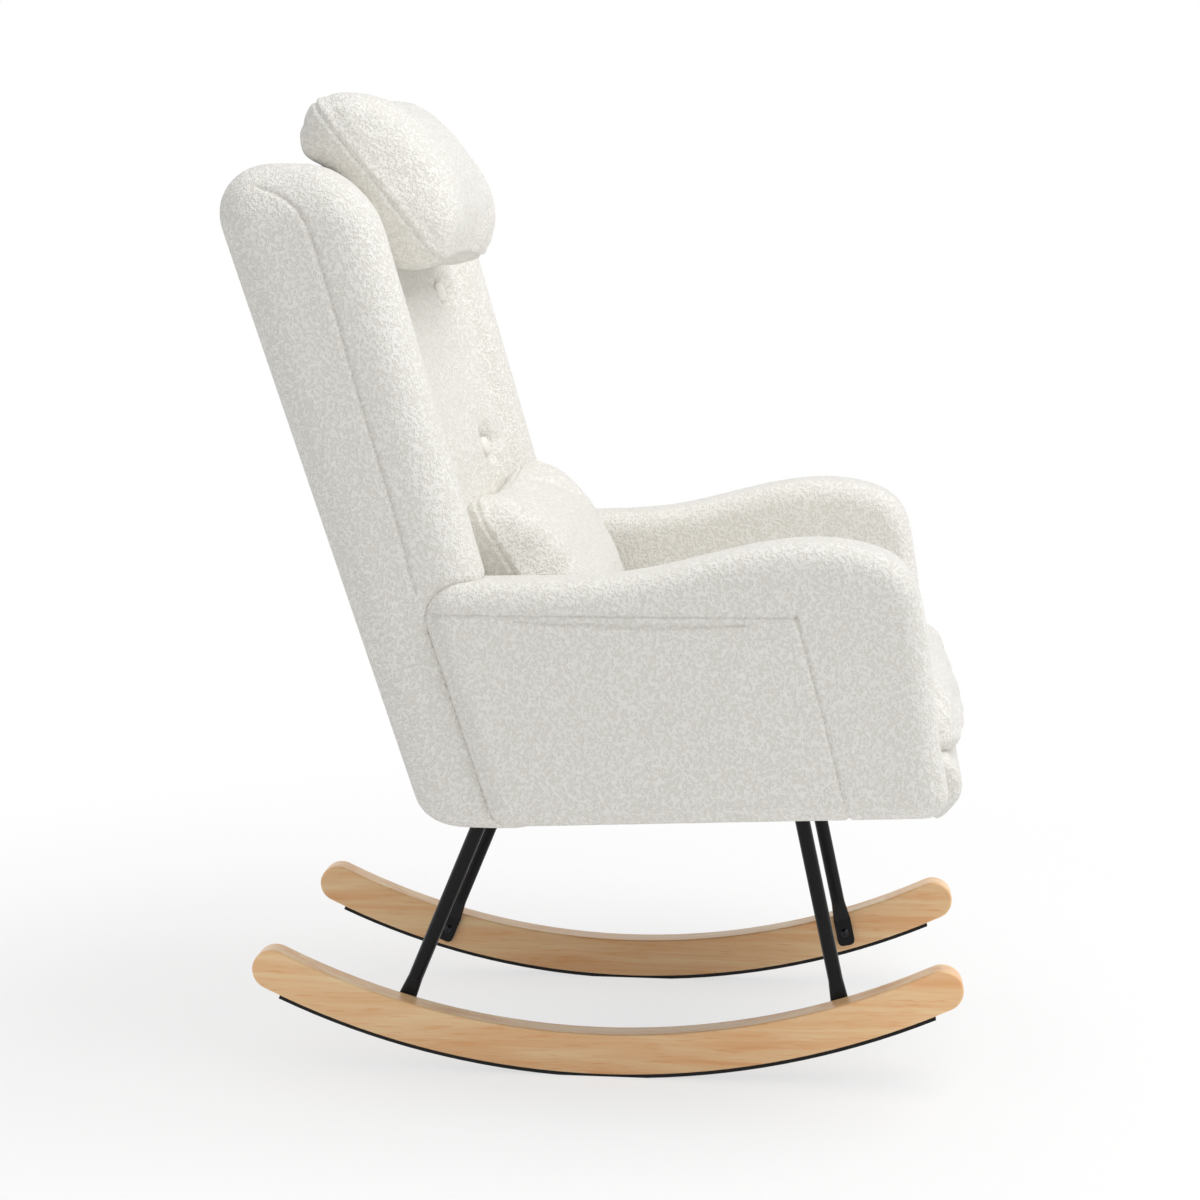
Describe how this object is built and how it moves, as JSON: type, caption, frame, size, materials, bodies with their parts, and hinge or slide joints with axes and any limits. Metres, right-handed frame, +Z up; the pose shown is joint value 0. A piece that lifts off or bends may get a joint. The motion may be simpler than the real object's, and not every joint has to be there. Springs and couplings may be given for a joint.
{
  "type": "rocking armchair",
  "caption": "Padded wing-back armchair in ivory curly-pile fabric with a tufted back, side pockets, a head pillow and a lumbar pillow, on black tube legs and curved wooden rockers.",
  "frame": {"origin": "on the floor, midway between the rockers and midway along the overall length", "axes": "+Z up, -Y the way the sitter faces, +X the sitter's left"},
  "size_m": [0.66, 0.7704, 1.0456],
  "materials": {
    "rocker_wood": "clear satin lacquer on pale hardwood",
    "strip_rubber": "matt black",
    "leg_steel": "smooth black powder coat",
    "fastener_steel": "black zinc",
    "insert_brass": "turned",
    "frame_timber": "planed, unfinished",
    "arm_plywood": "sawn plywood",
    "webbing": "woven elastic webbing",
    "dust_cloth": "black non-woven",
    "teddy_fabric": "ivory curly pile over foam"
  },
  "bodies": {
    "chair": {"anti_slip_strip_left": "strip_rubber", "anti_slip_strip_right": "strip_rubber", "arm_board_left": "arm_plywood", "arm_board_right": "arm_plywood", "arm_facing_left": "teddy_fabric", "arm_facing_right": "teddy_fabric", "arm_pad_left": "teddy_fabric", "arm_pad_right": "teddy_fabric", "back_buttons": "teddy_fabric", "back_lumbar_rail": "frame_timber", "back_pad": "teddy_fabric", "back_post_left": "frame_timber", "back_post_right": "frame_timber", "back_shell": "teddy_fabric", "back_top_rail": "frame_timber", "back_webbing": "webbing", "dust_cover": "dust_cloth", "foot_bolts": "fastener_steel", "foot_inserts": "insert_brass", "frame_bolts": "fastener_steel", "front_border": "teddy_fabric", "leg_bearer_left": "frame_timber", "leg_bearer_right": "frame_timber", "leg_front_left": "leg_steel", "leg_front_right": "leg_steel", "leg_plate_screws": "fastener_steel", "leg_rear_left": "leg_steel", "leg_rear_right": "leg_steel", "rocker_left": "rocker_wood", "rocker_right": "rocker_wood", "seat_cushion": "teddy_fabric", "seat_front_rail": "frame_timber", "seat_rear_rail": "frame_timber", "seat_side_rail_left": "frame_timber", "seat_side_rail_right": "frame_timber", "seat_webbing": "webbing", "side_pocket_left": "teddy_fabric", "side_pocket_right": "teddy_fabric"},
    "headrest": {"headrest_pillow": "teddy_fabric"},
    "lumbar": {"lumbar_pillow": "teddy_fabric"}
  },
  "joints": [
    {"name": "headrest_slide", "type": "slide", "parent": "chair", "child": "headrest", "axis": [0, 0.2425, 0.9701], "range_m": [0, 0.06]},
    {"name": "lumbar_lift", "type": "slide", "parent": "chair", "child": "lumbar", "axis": [0, -0.6, 0.8], "range_m": [0, 0.3]}
  ]
}
